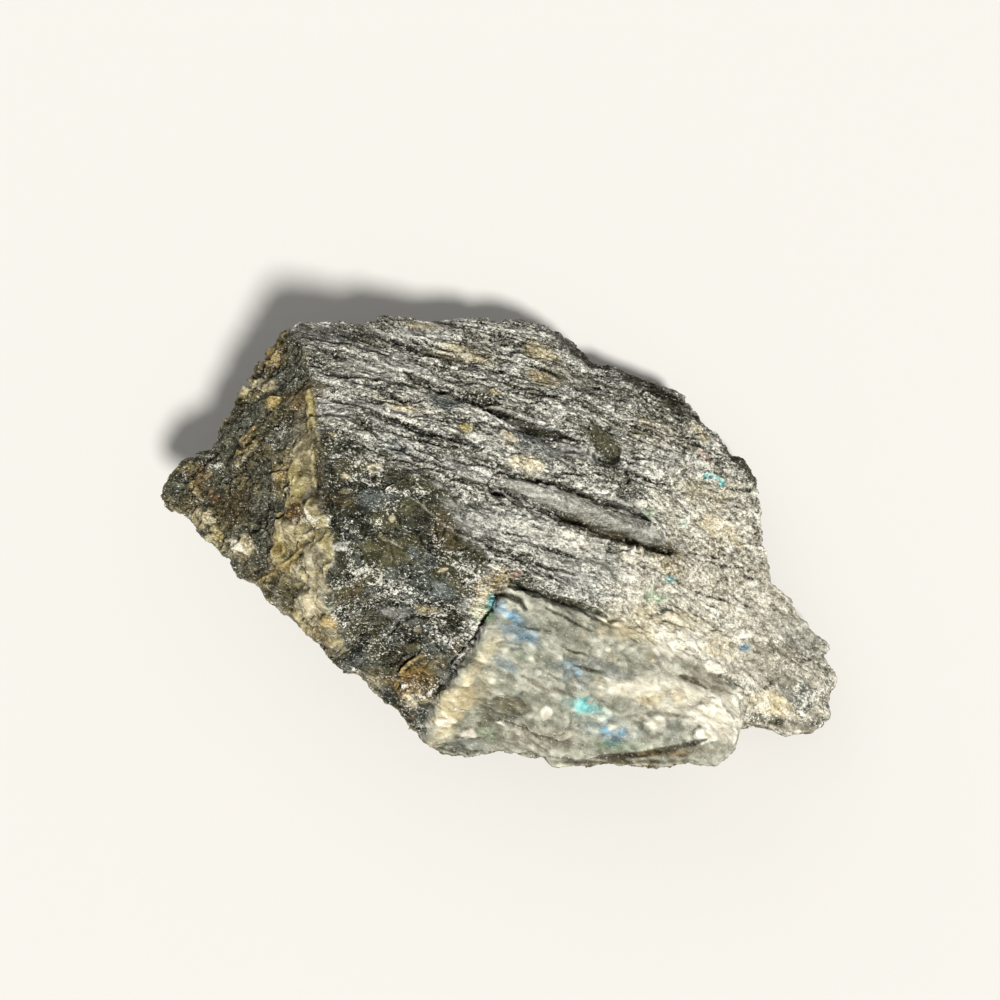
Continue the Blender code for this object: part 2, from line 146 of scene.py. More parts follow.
# Lines on the top, such as grooves, cracks, lamellae, veins and the chips' edges: colour, half
# width, depth, and x and y of each point they run through. The near-black lines in grooves and
# cracks are painted shade, and the broad umber line under the long lamella is partly the groove's
# own brown floor and partly its painted shade.
LINES = [
    (name, half_width, depth, list(zip(points[::2], points[1::2])))
    for name, half_width, depth, *points in read_rows(
        """
# grooves and lamellae of the splintered face
soot 0.45 0.3 -8.4 11.8 -6.2 11 -4.1 10.5 -2.1 10.3 -0.2 10
soot 0.35 0.25 -5.4 10.7 -3.2 9.8 -1 9.2
soot 0.5 0.35 -1.1 9.3 1.1 8.3 3.4 7.7 5.6 7.6
soot 0.25 0.2 -0.2 3.2 1.8 3 4 2.8 6.5 2.2
soot 0.22 0.2 6.1 2.3 8.7 1.8 10.3 1.5 12 1.1 13.3 0.1
soot 0.3 0.18 -0.4 1.9 2.3 0.9 4.9 0.1 7.3 -0.6
umber 0.95 0.1 5.4 -0.2 7.7 -0.8 9.9 -1.3 12.5 -1.7 14.9 -2
lamella 0.75 -0.06 0.4 2.3 3.5 1.4 7.4 0.4 11 -0.3 14.1 -1.2
lamella 0.7 -0.05 3.2 -3.9 6 -4 9.2 -4.4
soot 0.22 0.2 2.6 -3.1 4.5 -3.3 6.3 -3.9
soot 0.2 0.15 1.4 -4.2 3.7 -4.8 6 -5.3
soot 0.25 0.2 10 5.1 11.6 4.7 13 4.3 15 4.2
soot 0.35 0.2 -11.3 7.4 -9.7 7.1 -8.3 6.7 -6.6 6 -4.8 5.9 -2.3 5.5
soot 0.3 0.2 -11.8 10.4 -10.3 9.6 -9.1 9 -8.1 8.6
soot 0.4 0.25 -9.8 16 -8.2 15.4 -7 14.6 -5.7 14.4
soot 0.22 0.15 -17.1 14.5 -15.5 14.3 -13.1 14.4 -11.3 14 -9.6 13.6
soot 0.22 0.15 -7.3 16.3 -6.1 15.9 -4.9 15.4
soot 0.25 0.2 -5.9 2.5 -3.5 2 -1.1 1.6 0.2 1.2
soot 0.22 0.15 -8.1 4.1 -5.9 3 -4.2 2.7
soot 0.2 0.15 -9.1 5.8 -6.8 5.2 -4.4 4.7
soot 0.2 0.15 -5.3 6.6 -4 6.1 -2.4 5.6
soot 0.2 0.15 -4.7 3.7 -2.7 3.4 -0.7 3.4
olive 0.5 0.3 -3.8 -3.1 -2.3 -3.9 -1.2 -4.8
soot 0.2 0.15 -3.9 -2.4 -1.9 -3.2 0 -4 1.4 -4.2
soot 0.22 0.15 -15.1 10.8 -13.2 10.8 -11.3 10.8
soot 0.22 0.15 -14.2 8.3 -12.5 8 -10.5 7.5
soot 0.2 0.15 -14.7 5.4 -12.8 5.2 -11.4 4.8
soot 0.25 0.15 1.6 15.3 3.8 14.7 5.5 13.9
soot 0.2 0.15 3.3 11.8 5.5 11.4 8.1 11.1
soot 0.3 0.2 13 15.5 15.3 14.3 17.8 13
soot 0.25 0.15 16.3 8.9 18.2 8.7 20.6 8.3
soot 0.2 0.15 9.7 10.1 12.5 9.7 14.8 8.9
# east
soot 0.25 0.2 20.6 4.8 22.1 4.7 23.6 5.2
soot 0.18 0.1 17.4 -2.6 19.6 -2.8 21.9 -2.7
soot 0.18 0.1 16.4 -5.3 18.5 -5.7 20.2 -6.2
soot 0.2 0.12 17.9 -6.4 18.8 -6.7
soot 0.2 0.12 21.3 -3.5 23.3 -3.7
olive 0.3 0.1 14.9 -13.2 16.2 -13.5 17.2 -14.2
# plate
soot 0.35 0.35 -0.6 -7.4 0.5 -7.6 1.3 -8 1.8 -8.6
soot 0.15 0.35 -0.7 -8 -1.5 -9.2 -2.3 -10.5
soot 0.15 0.3 -2.3 -10.5 -3.3 -11.5 -4.3 -12.6
olive 0.3 0.2 0.7 -6.2 2.2 -6.7 3.9 -7.2 5.6 -7.6 7.3 -8 8.7 -8.4
olive 0.15 0.1 3.3 -8.4 4.7 -8.9 6.3 -9.7 7.3 -10
olive 0.12 0.1 1.7 -10 2.8 -10.1 3.9 -10.3
olive 0.15 0.1 5 -11.5 6 -11.8 7 -11.9
olive 0.15 0.1 5.9 -12.7 6.9 -13 8 -13.1
taupe 0.2 0.08 1.4 -13.6 3.4 -14.6 5.7 -15.1
umber 0.25 0.12 7.7 -19.9 11.5 -19.6 14.8 -19 17 -18.4
taupe 0.2 0.08 10.6 -16.5 13.2 -16.2 15.7 -16.6
# dark face: cracks and the pale edges of chips
taupe 0.09 -0.06 -8 0.4 -6.3 -0.8 -4.9 -1.9 -3.6 -2.7
taupe 0.08 -0.05 -9.9 -2.9 -9.1 -3.3 -8.1 -3.7
soot 0.18 0.3 -9.3 -10.1 -8.6 -9.3 -7.6 -9 -6.4 -9 -5.3 -9.3
soot 0.15 0.3 -8.8 -13.1 -8.2 -12.3 -7.2 -11.9
ochre 0.2 -0.1 -8.6 -15.2 -8.9 -14.1 -8.5 -13.1 -7.6 -12.3 -6.2 -11.8
soot 0.15 0.2 -10.6 -12.3 -9.1 -12.4 -8.4 -11.9
soot 0.12 0.1 -4.7 -9.2 -3.7 -10.2 -2.7 -11
soot 0.12 0.1 -5.8 -9.4 -4.5 -10.7 -3.3 -11.7
soot 0.12 0.1 -6.5 -9.8 -5.5 -11.1 -4.7 -12
# crust and the west facet
yellow 0.15 -0.12 -18.3 -4.9 -16.8 -4 -15.4 -3.7
ochre 0.15 -0.1 -21.2 -5.4 -19.3 -4.9 -17.6 -4.4
yellow 0.14 -0.1 -15.7 8.6 -15.6 7.2 -15.3 5.5
umber 0.3 0.12 -15.2 4.9 -14.9 2.8 -14.8 1.2 -14.8 -0.4
soot 0.2 0.25 -18.9 -1 -18.2 -0.6 -17.6 -0.4
ochre 0.4 0 -18.8 -2.3 -18.7 -3.3 -19 -3.8
ochre 0.22 -0.08 -22.4 6.3 -21.4 6.9 -20.4 7.4
ochre 0.22 -0.08 -23 4.9 -21.6 5.3 -20.4 5.7
soot 0.15 0.15 -21 2.8 -19.5 2.7 -17.8 2.6
soot 0.15 0.15 -19.3 0.7 -19.8 -0.8 -19.3 -2.6
tan 0.2 -0.1 -27.3 3.5 -26.5 2.4 -25.9 1.8
soot 0.15 0.15 -23.1 -0.4 -21.8 -1.1 -20.1 -2
"""
    )
]

# Soft washes on the top: colour, x, y, half length, half width, turn in degrees, and strength. A
# wash of glint frost is crushed crystal whose bright specks are partly painted glints.
# painted highlight: the silver wash at x 11.3, y 1.1, on the lamella above the long groove
# painted shade: the charcoal and near-black washes along the north rim, where the top falls away into
# shadow, and the near-black ones beside the dark face's cracks
WASHES = read_rows(
    """
# west facet
shale -21 7.8 2.1 2.1 57 0.55
shale -23.7 4.9 2.2 1.6 25 0.4
umber -16.4 9.3 0.7 2.2 -88 0.9
charcoal -17.6 13.3 1.6 1.8 29 0.5
tan -22.1 11.5 0.8 1.1 29 0.7
ochre -19.4 9.2 0.7 0.6 -12 0.5
ochre -21.8 5.5 1.8 0.4 25 0.5
umber -22.1 0.5 2 1.4 -10 0.8
shale -19.9 0.4 0.9 1.9 73 0.5
tan -25.9 0.3 2.3 0.7 -47 0.8
tan -22.4 -2.5 1.5 0.8 -32 0.9
rust -25.1 2 1.1 0.5 -49 0.5
brown -26.4 3.6 1.2 0.7 60 0.7
charcoal -28.3 2.9 0.7 1.4 84 0.9
umber -20.4 -4.7 1.6 0.8 -25 0.6
frost -24.9 4.6 1.1 0.7 -13 0.8
frost -18.6 6.2 1 0.7 -16 0.8
tan -24.8 -1.9 0.8 0.6 -40 0.9
# crust ridge
umber -15.9 4.7 3.9 0.8 88 0.5
yellow -15.6 7.2 1.4 0.3 89 0.5
taupe -16.7 6.3 2.2 1 83 0.5
umber -17 7.8 0.9 1 55 0.5
umber -14.7 1.9 2.9 0.4 -89 0.6
tan -17.1 4 1.4 0.8 70 0.6
yellow -16.7 0.4 1.4 0.9 74 0.7
amber -17.1 -0.9 0.6 0.9 41 0.95
frost -15.1 -1.8 0.6 1.5 76 0.8
ochre -18 -2.9 1.3 0.5 73 0.7
yellow -14.7 -4.2 1.2 1.3 56 0.5
ochre -17.2 -4.7 1.9 0.4 18 0.8
olive -17.9 -6.5 1.8 0.8 -33 0.75
cream -15.6 -8.2 1.5 0.9 -49 0.9
cream -14.8 -6.7 0.5 1.2 60 0.8
brown -13.8 -9.6 0.6 0.4 3 0.6
brown -15.1 -10.5 1.1 0.6 -49 0.5
# dark face
soot -13.6 -0.3 0.7 2.3 87 0.9
slate -10.7 -0.4 1.1 0.7 2 0.3
olive -7.3 -0.8 1.3 0.7 -12 0.8
umber -4.6 -1.7 0.9 0.9 -28 0.5
olive -9.3 -4.1 2.2 1.1 -12 1
charcoal -12.2 -3.9 0.9 0.8 9 0.8
frost -8.4 -6.8 3.6 1.4 -9 1
frost -2.7 -5.8 1.7 2 -49 0.8
frost -11.5 2.5 2.7 1.4 -18 0.5
frost -12.4 -9.5 1.7 1.3 -35 0.6
silver -9.3 -8.5 1.2 0.5 -3 0.6
tan -5.3 -12.5 0.6 0.7 -2 0.5
silver -2.4 -3.1 1 0.6 2 0.7
slate -5.1 -6.9 1.3 0.9 -20 0.3
brown -12.1 -7.4 1.1 0.7 47 0.25
soot -7.8 -10.4 1.5 1.1 -22 0.4
tan -10.9 -13.6 1 1 43 0.6
soot -2 -4.6 0.8 0.5 -39 0.8
soot -8.6 -12.1 1.8 0.5 -49 0.5
frost -4.2 -10.5 2.1 1.1 -34 0.8
ochre -7.2 -13.7 1.4 1.6 77 0.7
amber -7.9 -13.9 0.9 1.8 77 0.6
ochre -8.6 -13.9 0.4 1.6 77 0.6
umber -5.5 -14.1 0.5 1.5 79 0.5
tan -6.5 -14.9 1.2 0.7 -2 0.6
slate -2.8 -18.7 1.7 0.6 -5 0.6
cream -4.2 -16.3 2.3 1 58 0.9
cream -1.5 -12.1 1.7 0.6 52 0.6
# splintered face
silver -11.2 11.5 3.3 1.2 4 0.5
charcoal -10.6 17.9 2.6 0.8 17 0.8
charcoal -4.8 18.6 1.6 1.4 13 0.8
charcoal 2.6 19.9 3.8 0.7 8 0.6
soot 8.5 17.2 2.6 1 -12 1
cream 3.9 13.7 1.4 0.9 -20 1.1
charcoal -11.1 6.2 1.7 1 -14 0.9
silver 2 7.2 1.3 0.7 -11 0.6
silver 6.2 6.1 2.5 0.8 -6 1
silver 11.3 1.1 2.1 0.6 -18 1
cream 15.1 -2.2 1 0.7 -20 0.6
charcoal 11 11.5 1.3 0.7 -12 0.5
charcoal 2.2 -2.4 1 0.4 -15 0.6
silver -7 17.8 2.4 0.7 17 0.8
charcoal -9 9.2 4.9 0.5 -14 0.4
tan -3.4 15.5 2.8 1.1 -1 0.6
charcoal -2 10.1 3.7 0.4 -14 0.4
charcoal 2.4 8.1 2.5 0.3 -19 0.7
slate -5.2 9.2 1.2 0.7 -22 0.6
charcoal -10.8 3.9 2.7 0.9 -27 0.6
cream -8.2 8.3 1.2 0.4 -1 0.7
yellow -3.2 6.8 0.5 0.5 9 0.6
cream -0.2 6 1.6 0.5 -14 0.2
silver 2.5 5.8 1.8 1.1 -24 0.5
white 2.3 4 1.8 0.7 -5 0.7
charcoal 4.9 2.4 5 0.3 -13 0.7
silver 5.3 1.3 4.5 0.7 -14 0.95
soot 5.9 0 3.4 0.3 -16 0.5
umber 10.9 -1.2 3 0.4 -11 1
silver -1.9 -1.6 2.5 1.3 -16 0.6
white 6.5 -2.1 2.2 0.5 -15 0.5
silver 5.4 -5.2 3 0.7 -9 0.9
silver 6 -3.3 6.1 2 -16 0.55
frost 4.8 -3.2 6.1 2.1 -16 0.8
white 3.5 -2.2 3.6 0.7 -15 0.3
white 10.7 -3.1 1.1 0.6 -7 0.8
tan 14.2 -2.4 1.4 1.3 -19 0.9
ochre -0.4 -6.2 1 0.9 19 0.9
tan 3.4 16.7 1.4 1.1 -25 0.85
taupe 5.7 14.7 2.7 1.4 -3 0.4
charcoal 10 12.7 4.9 0.7 -15 0.6
charcoal 14.3 12.9 4.3 0.8 -33 0.6
soot 14.3 14.4 6 1 -30 1
soot 6.9 18.5 3.2 1.2 -20 0.8
soot 22.7 7.4 3.1 0.7 -55 1
soot -14.1 15.6 4.2 0.9 6 0.8
olive 9.2 7.5 2.1 1.4 -75 0.9
soot 9.7 5.6 0.8 0.7 -54 0.8
tan 13.9 9.5 2.9 1.9 -30 0.35
# east
charcoal 22 7.7 3.3 0.8 -60 0.9
charcoal 23.5 5.8 1 1 -62 1
charcoal 27.8 -16.8 1.4 0.7 19 0.8
taupe 24 -2.6 1.3 0.9 -37 0.5
taupe 26.4 -6.4 1.1 0.7 -39 0.7
charcoal 28.8 -14.1 1.1 1 1 0.8
charcoal 23.3 1.1 3.8 0.4 -86 0.5
cream 18.6 4 2.3 1.3 -10 0.5
white 19.3 0.9 2.4 0.9 0 0.85
silver 15.9 -1.3 1 0.7 8 0.6
green 13.1 0.9 1 0.5 -7 0.3
white 16 -10 5.5 2.1 -10 1
white 16.6 -15.1 4.2 2.1 -14 0.8
cream 10.5 -9.6 2.6 1.3 -5 0.8
green 13.1 -6.3 1.3 0.7 1 0.55
teal 14.6 -4.7 0.6 0.4 9 0.7
silver 26.7 -9.1 3.2 1.6 -30 0.4
silver 25.2 -12.9 1.6 1.2 58 0.4
taupe 23.9 -11.4 3.5 1.9 -29 0.5
charcoal 27.9 -10.5 2 1.6 55 0.3
cream 23.7 -14.9 2.5 0.8 -11 0.8
taupe 24.9 -16.8 3.5 0.4 -6 0.9
taupe 16.7 -13.7 3.2 0.7 -11 0.8
# plate
slate 4.6 -10.9 3.2 1.6 -18 0.2
slate 1.1 -10.7 0.9 0.9 -38 0.7
cream -2 -14.7 1.6 1.1 56 0.4
white 11.4 -14.5 4.6 0.9 -3 0.8
white 18.5 -16.9 1.8 2 3 0.7
taupe 0.2 -18 2.3 0.6 5 0.5
brown 13.6 -19.5 4.9 0.3 3 0.8
umber 10.2 -20.2 5.9 0.2 0 0.9
white 7.6 -12.4 1.8 0.7 -11 0.5
olive -2.4 -17.7 1.2 0.6 0 0.5
cream 0.7 -15.8 1.1 0.6 -1 0.6
slate 2.7 -13.4 0.9 0.5 1 0.4
# flashes
blue 1.4 -10.2 1.9 1.1 -37 0.35
blue 5.9 -13.5 1.9 0.9 -26 0.25
blue 8.5 -17.6 2.2 1 -8 0.35
teal 6.8 -16.2 2.1 1 -26 0.25
teal -1.2 -8 0.6 0.6 68 1.3
green -1.8 -8.9 0.7 0.8 58 1
blue 0.2 -8.7 1.3 0.5 -38 0.8
blue 1.4 -9.9 1.1 0.3 -42 0.4
green 1.9 -12.1 0.6 0.5 1 0.4
blue 0.2 -12.8 1 0.5 -18 0.4
blue 5.9 -12.9 1 0.5 -23 0.5
teal 6.8 -15.8 1.1 0.6 -31 0.85
blue 1.4 -15.3 0.7 0.3 -10 0.25
blue 9.1 -17.9 1.3 0.7 -28 0.7
green 8.9 -18.9 2.5 0.4 -4 0.3
green -1.3 -18 1 0.4 1 0.3
teal 19.4 5.6 1.1 0.5 -26 1.5
teal 15.9 0.9 0.5 0.5 -57 1.5
blue 21.3 -10 0.5 0.4 -17 0.9
pink 18.8 7.2 0.7 0.6 -25 0.5
pink 0.9 -5.6 0.5 0.4 5 0.5
"""
)

# Small marks on the top: colour, x, y, half length, half width, turn in degrees, and rise. The
# near-black marks are sunk, and their colour is painted shade.
MARKS = read_rows(
    """
# west facet
ochre -19.8 14.2 0.9 0.6 30 0.1
umber -20.5 11.9 0.6 0.4 40 0
shale -17.8 11.6 1 0.8 60 0
tan -22.3 11.6 1 0.7 50 0.3
tan -20 10.6 0.9 0.5 20 0.2
yellow -19.3 8.9 0.7 0.4 60 0.3
brown -17 8.4 1.1 0.9 40 0
shale -21.6 8.5 1.5 0.9 50 -0.1
shale -20.4 3.2 1.2 0.9 40 -0.1
tan -21.7 4.7 1.5 0.3 38 0.2
ochre -21.6 6.4 0.8 0.3 40 0.1
ochre -26.8 3 1 0.4 -50 0.2
brown -26.1 4.2 1.1 0.9 30 0
shale -28.4 3.6 1 0.8 30 0
umber -22.9 0.9 1.7 1.1 60 0
cream -25.2 0.1 0.8 0.4 -45 0.2
cream -22 -2.4 0.9 0.6 -40 0.2
ochre -18.3 2.4 0.7 0.6 60 0
yellow -17 2.3 1 0.5 80 0.1
yellow -15.9 7.3 1.6 0.2 -88 0.2
# crust ridge
soot -18.6 -0.7 0.5 0.2 30 -0.2
yellow -18.5 -2.5 1.7 0.5 85 0.2
cream -15.3 -4.4 1.1 0.8 60 0.2
ochre -16.9 -3.9 1.1 0.3 35 0
umber -18.6 -6.4 1.7 1 -20 0
cream -16 -7.8 1.1 0.7 -40 0.3
ochre -14.2 -9.8 1 0.6 -45 0.1
# dark face
soot -7.1 -10.4 1.6 0.7 -15 -0.1
tan -6 -8.5 1 0.4 -5 0.2
tan -7 -9.9 0.3 0.2 0 0.1
umber -8.3 -16.3 1.2 0.8 -40 0
# splintered face
tan -3.4 15.4 1.8 0.7 -15 0.1
cream 3.5 16.7 1.4 0.6 -20 0.2
yellow -0.7 11.1 0.5 0.3 -10 0.2
tan 3.4 13.9 1.4 0.7 -15 0
cream -8.4 8.2 1.2 0.3 -8 0.15
yellow -2.9 6.9 0.5 0.4 0 0.2
cream 0.4 6.4 0.8 0.4 -15 0.2
cream 2.5 4.3 1.4 0.6 -12 0.15
tan -7.4 18 1.8 0.6 -5 0.3
slate -4.9 9.1 1 0.7 -25 0
slate 3 6.4 2.1 1 -28 0
slate -8.6 4.5 1.1 0.7 -25 0
white 12.1 1.8 0.4 0.3 -20 0.2
taupe 7.5 1.5 2.6 0.7 -18 0
silver -2.7 2.9 2.5 1 -20 0.05
# east
pink 18.6 7.9 0.7 0.5 -30 0
tan 18.6 9.9 1.3 0.8 -45 0
cream 19.5 0.8 2.5 1.3 -15 0.1
brown 14.6 -3.3 1.5 1 -15 0
white 11.1 -2.5 1.1 0.5 -15 0.2
slate 26.3 -14.5 1.4 1.2 60 0
taupe 25.6 -10.6 2.1 0.9 -35 0
# plate
cream -4.1 -15.7 2.5 1.2 50 0.1
cream 16.1 -9.2 4.6 1.5 -20 0.15
white 17.8 -16.9 1.9 1.7 -20 0.15
cream 24.1 -14.9 2.3 0.8 -18 0.1
olive 22.9 -16.1 1.9 0.4 -6 -0.1
taupe 17.1 -12.7 2.3 0.7 -16 -0.05
slate 8 -12.8 2.8 0.7 -12 0
olive 0.2 -16.1 2.5 1 10 0
taupe 3.5 -18.5 3.3 0.7 -4 0
ochre -1.6 -6.9 0.8 0.6 40 0.1
cream -2 -8.2 1 0.6 50 0.1
ochre -19.7 13.7 1.7 0.7 -37 0.15
shale -18.2 11.4 1.6 1.2 -23 -0.05
cream -20.8 11.4 0.7 0.5 -21 0.15
ochre -19.6 9.1 0.6 0.5 -10 0.2
shale -18.5 5.6 1.3 1.1 -12 0
umber -23.4 0.4 1.4 1.1 -11 -0.1
shale -19.7 0.7 0.8 1.7 -8 0
cream -25.4 0.5 1.2 0.6 -41 0.1
yellow -24.6 -1.1 0.8 0.4 -44 0.1
white -22.8 -2.3 0.8 0.5 -44 0.15
amber -17.1 -1 1 0.7 -18 -0.35
cream -17.9 -2.1 0.9 0.7 -15 0.15
taupe -14.9 -5 1 0.9 -7 0.1
olive -18.3 -7 2 0.7 -29 -0.1
cream -16.3 -8 1.1 0.7 -15 0.15
ochre -14.4 -9.5 0.9 0.4 1 0.1
umber -13.8 -0.6 0.6 1.9 -89 -0.1
slate -10.5 -0.1 1 0.7 -7 0
olive -7.8 -0.8 1.1 0.6 -11 -0.05
umber -5.1 -1.6 0.9 0.8 -18 -0.05
olive -10.1 -4.3 2.1 0.9 -11 -0.05
slate -7.2 -4.1 0.6 0.5 0 0
slate -5.4 -6.8 0.9 0.6 -2 0
silver -12.8 -4 0.3 0.9 -64 0.1
soot -10 -11.3 1 0.7 -12 -0.1
umber -8.7 -11.7 0.5 0.7 -5 -0.05
soot -10.6 -7.9 0.7 0.5 1 -0.1
soot -8.1 -10.3 0.6 1 55 -0.1
amber -7.4 -13.8 1.3 1.2 -4 0.35
umber -5.9 -14.5 0.6 1.3 77 0
cream -7.6 -15.4 0.8 0.4 -12 0.15
tan -6.4 -8.3 1 0.3 -5 0.2
cream -4.9 -5.5 0.6 0.2 15 0.1
cream -8.9 -1.6 0.3 0.3 4 0.1
tan -9.6 -3.1 0.4 0.2 -26 0.1
tan -10.3 2.3 0.5 0.4 6 0.1
tan -13.7 4.9 0.4 0.3 2 0.1
tan -12.6 0.2 0.5 0.2 3 0.1
cream -12.6 1.4 0.4 0.2 4 0.1
# splintered face
olive 9.3 7.3 2.2 1.3 -80 -0.2
white 6.2 -2.1 1.2 0.6 -23 0.3
white 5.3 -1.7 0.7 0.5 -25 0.25
white 10.7 -3.1 0.9 0.7 9 0.35
cream 11.8 -2.7 0.9 0.3 61 0.3
tan 13.9 -3.1 1.2 1 0 0.15
cream 14.7 -3.8 0.6 0.4 8 0.2
white 12 1.8 0.5 0.4 6 0.2
white 4.8 1.3 0.5 0.3 -7 0.15
cream 2.3 4 1.7 0.6 -5 0.15
yellow -3.1 6.9 0.5 0.5 10 0.2
# plate
cream -4.3 -15.5 1 0.8 16 0.15
white -2.8 -18 0.7 0.4 -1 0.15
white -4.6 -17 0.8 0.4 1 0.15
white 3.6 -16.5 0.5 0.5 2 0.12
white 12.7 -17 0.8 0.6 1 0.12
white 18 -15.6 0.9 0.7 3 0.15
white 17 -18 0.9 0.8 0 0.2
white 20 -14.4 0.8 0.5 54 0.15
cream 14.5 -14.9 0.9 0.6 1 0.2
cream 12.3 -15.2 1.4 0.6 -3 0.15
white 15.8 -10 1.9 0.8 1 0.15
white 13.8 -9.6 0.9 0.6 4 0.1
white 17.9 -12.3 1.4 0.4 -18 0.15
charcoal -4.1 -19 1.5 0.4 -3 0
"""
)

# Washes of these colours are calm, low in relief; these others are the schiller's flashes, a sheen
# painted into the colour
CALM_COLOURS = {"slate", "shale", "taupe", "olive", "umber", "silver", "soot", "brown"}
FLASH_COLOURS = {"blue", "teal", "green", "pink"}
WASH_SOFTNESS = 1.1
MARK_SOFTNESS = 0.35
# Lines at least this wide are smooth inside
WIDE_LINE = 0.5
# How fully marks, lines and glint frost cover the colours under them; the frost's bright specks are
# partly painted glints
MARK_COVER = 0.7
LINE_COVER = 0.85
GLINT_FROST_COVER = 0.85

# The surface: labradorite's index of refraction, the bump's height in metres, and the power that
# darkens the pattern's middle tones
INDEX = 1.56
BUMP_METRES = 0.00015
DARKENING = 1.7

# The camera, the floor and the lamps, with their places and lengths in metres
CAMERA_ELEVATION_DEGREES = 74.0
CAMERA_DISTANCE = 0.1122
CAMERA_AIM = (-0.00024, 0.00296, 0.008)
LENS_MILLIMETRES = 45.0
SENSOR_MILLIMETRES = 36.0
CLIP_START = 0.001
FLOOR_SIDE = 3.0
FLOOR_COLOUR = (0.58, 0.575, 0.56, 1.0)
FLOOR_ROUGHNESS = 0.9

# Distant lamps: name, place, strength, angle in degrees and colour. They all aim at one point.
LAMPS = [
    ("key", (0.11, -0.26, 0.36), 5.1, 10.0, (1.0, 0.975, 0.93)),
    ("fill", (-0.33, 0.37, 0.16), 0.6, 60.0, (1.0, 0.98, 0.94)),
]
LAMP_AIM = (0, 0, 0.008)
ROOM_COLOUR = (0.97, 0.95, 0.91, 1.0)
ROOM_STRENGTH = 0.32


# --- seeded noise ---


def cell_numbers(cells, seed):
    """Four repeatable numbers from 0 to 1 for each whole-number cell, by hashing."""
    key = (cells[:, 0] * 73856093) ^ (cells[:, 1] * 19349663) ^ (cells[:, 2] * 83492791)
    key = (key + seed * 2654435761).astype(np.uint64)
    for shift, factor in ((30, 0xBF58476D1CE4E5B9), (27, 0x94D049BB133111EB)):
        key = (key ^ (key >> np.uint64(shift))) * np.uint64(factor)
    key ^= key >> np.uint64(31)
    parts = [(key >> np.uint64(shift)) & np.uint64(0xFFFF) for shift in (0, 16, 32, 48)]
    return np.stack(parts, axis=1) / 65535.0


def smooth_noise(places, seed):
    """Value noise from -1 to 1 with features about one unit across."""
    cells = np.floor(places).astype(np.int64)
    along = places - cells
    along = along * along * (3 - 2 * along)
    total = np.zeros(len(places))
    for corner in np.ndindex(2, 2, 2):
        weight = np.prod(np.where(np.array(corner), along, 1 - along), axis=1)
        total += weight * cell_numbers(cells + np.array(corner), seed)[:, 0]
    return total * 2 - 1


def layered_noise(places, seed):
    """Smooth noise with two finer, weaker layers added."""
    total = np.zeros(len(places))
    for layer in range(3):
        total += smooth_noise(places * 2**layer, seed + layer) / 2**layer
    return total / 1.6


def voronoi(places, seed):
    """The unit cell each point is in: reach from its seed, distance to its border, 4 numbers."""
    home = np.floor(places - 0.5).astype(np.int64)
    best = np.full(len(places), np.inf)
    second = best.copy()
    reach = np.zeros((len(places), 3))
    owner = home.copy()
    for corner in np.ndindex(2, 2, 2):
        cell = home + np.array(corner)
        away = places - cell - cell_numbers(cell, seed)[:, :3]
        distance = (away**2).sum(axis=1)
        nearer = distance < best
        second = np.where(nearer, best, np.minimum(second, distance))
        best = np.where(nearer, distance, best)
        reach[nearer] = away[nearer]
        owner[nearer] = cell[nearer]
    border = np.sqrt(second) - np.sqrt(best)
    return reach, border, cell_numbers(owner, seed + 500)


def chips(places, seed, tilt, step):
    """Flat chips, one to a cell, each tilted and raised or sunk at random."""
    reach, _, numbers = voronoi(places, seed)
    slope = (numbers[:, :3] - 0.5) * 2 * tilt
    return (reach * slope).sum(axis=1) + (numbers[:, 3] - 0.5) * 2 * step


def lumps(places, seed):
    """Round grains from 0 to 1, one to a cell, some of them missing."""
    reach, _, numbers = voronoi(places, seed)
    size = 0.25 + 0.75 * numbers[:, 3]
    return np.clip(1 - (reach**2).sum(axis=1) * 2.4, 0, 1) * size


# --- areas and lines seen from above ---


def smooth_step(values):
    values = np.clip(values, 0, 1)
    return values * values * (3 - 2 * values)


def mix(first, second, share):
    return first + (second - first) * share


def path_distance(places, path):
    """How far each place is from a path."""
    nearest = np.full(len(places), np.inf)
    flat = places[:, :2]
    for start, end in zip(path[:-1], path[1:]):
        start, end = np.array(start), np.array(end)
        run = end - start
        share = np.clip((flat - start) @ run / (run @ run), 0, 1)
        away = flat - start - share[:, None] * run
        nearest = np.minimum(nearest, np.linalg.norm(away, axis=1))
    return nearest


def area_share(places, outline, fade):
    """1 inside an outline and 0 outside it, fading over a width at its edge."""
    x, y = places[:, 0], places[:, 1]
    inside = np.zeros(len(places), bool)
    for (x0, y0), (x1, y1) in zip(outline, outline[1:] + outline[:1]):
        if y0 != y1:
            crosses = (y0 > y) != (y1 > y)
            inside ^= crosses & (x < (x1 - x0) * (y - y0) / (y1 - y0) + x0)
    depth = path_distance(places, outline + outline[:1]) * np.where(inside, 1, -1)
    return smooth_step(depth / fade / 2 + 0.5)


def spot_share(places, ragged, spot, softness):
    """1 inside a spot and 0 outside it, with a ragged edge as soft as softness says."""
    _, x, y, length, width, turn, _ = spot
    share = np.zeros(len(places))
    furthest = max(length, width) * (1.4 + softness)
    near = np.hypot(places[:, 0] - x, places[:, 1] - y) < furthest
    angle = math.radians(turn)
    reach = places[near, :2] - (x, y)
    along = reach[:, 0] * math.cos(angle) + reach[:, 1] * math.sin(angle)
    across = reach[:, 1] * math.cos(angle) - reach[:, 0] * math.sin(angle)
    out = np.hypot(along / length, across / width)
    share[near] = smooth_step((1 + softness * 0.4 - out + ragged[near] * 0.7) / softness)
    return share


